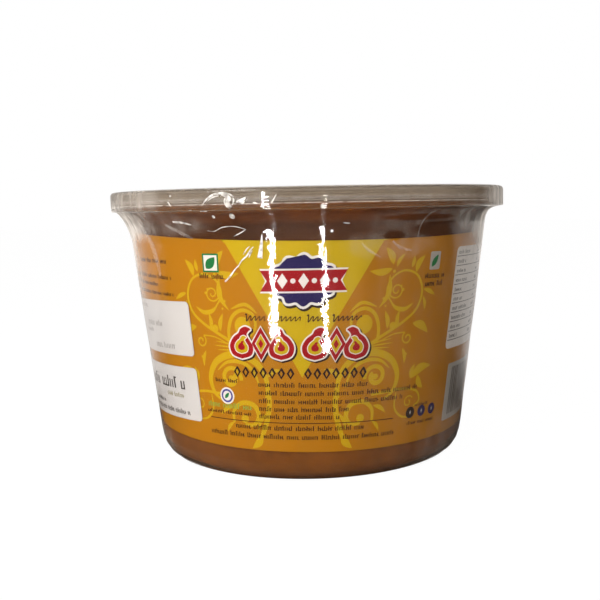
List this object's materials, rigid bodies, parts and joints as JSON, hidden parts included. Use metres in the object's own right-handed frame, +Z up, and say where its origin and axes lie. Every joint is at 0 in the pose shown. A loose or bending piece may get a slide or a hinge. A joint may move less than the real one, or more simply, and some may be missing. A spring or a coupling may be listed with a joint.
{
  "type": "tub of jaggery",
  "caption": "Round clear tub with a shallow press-on lid, filled with set brown jaggery and wrapped in a label and shrink film.",
  "frame": {"origin": "middle of the tub's base, on the surface that it stands on", "axes": "+Z up through the middle of the lid, -Y to the middle of the label's front"},
  "size_m": [0.132, 0.132, 0.088],
  "materials": {
    "clear_plastic": "clear moulded plastic, glossy, slightly smoky",
    "jaggery": "set brown cane sugar, satin",
    "printed_label": "orange and yellow printed label, satin",
    "sticker_paper": "plain white paper",
    "shrink_film": "clear shrink film, glossy, creased"
  },
  "bodies": {
    "root": {"tub": "clear_plastic", "lid": "clear_plastic", "jaggery": "jaggery", "label": "printed_label", "sticker_upper": "sticker_paper", "sticker_lower": "sticker_paper", "film_sleeve": "shrink_film"}
  },
  "joints": []
}
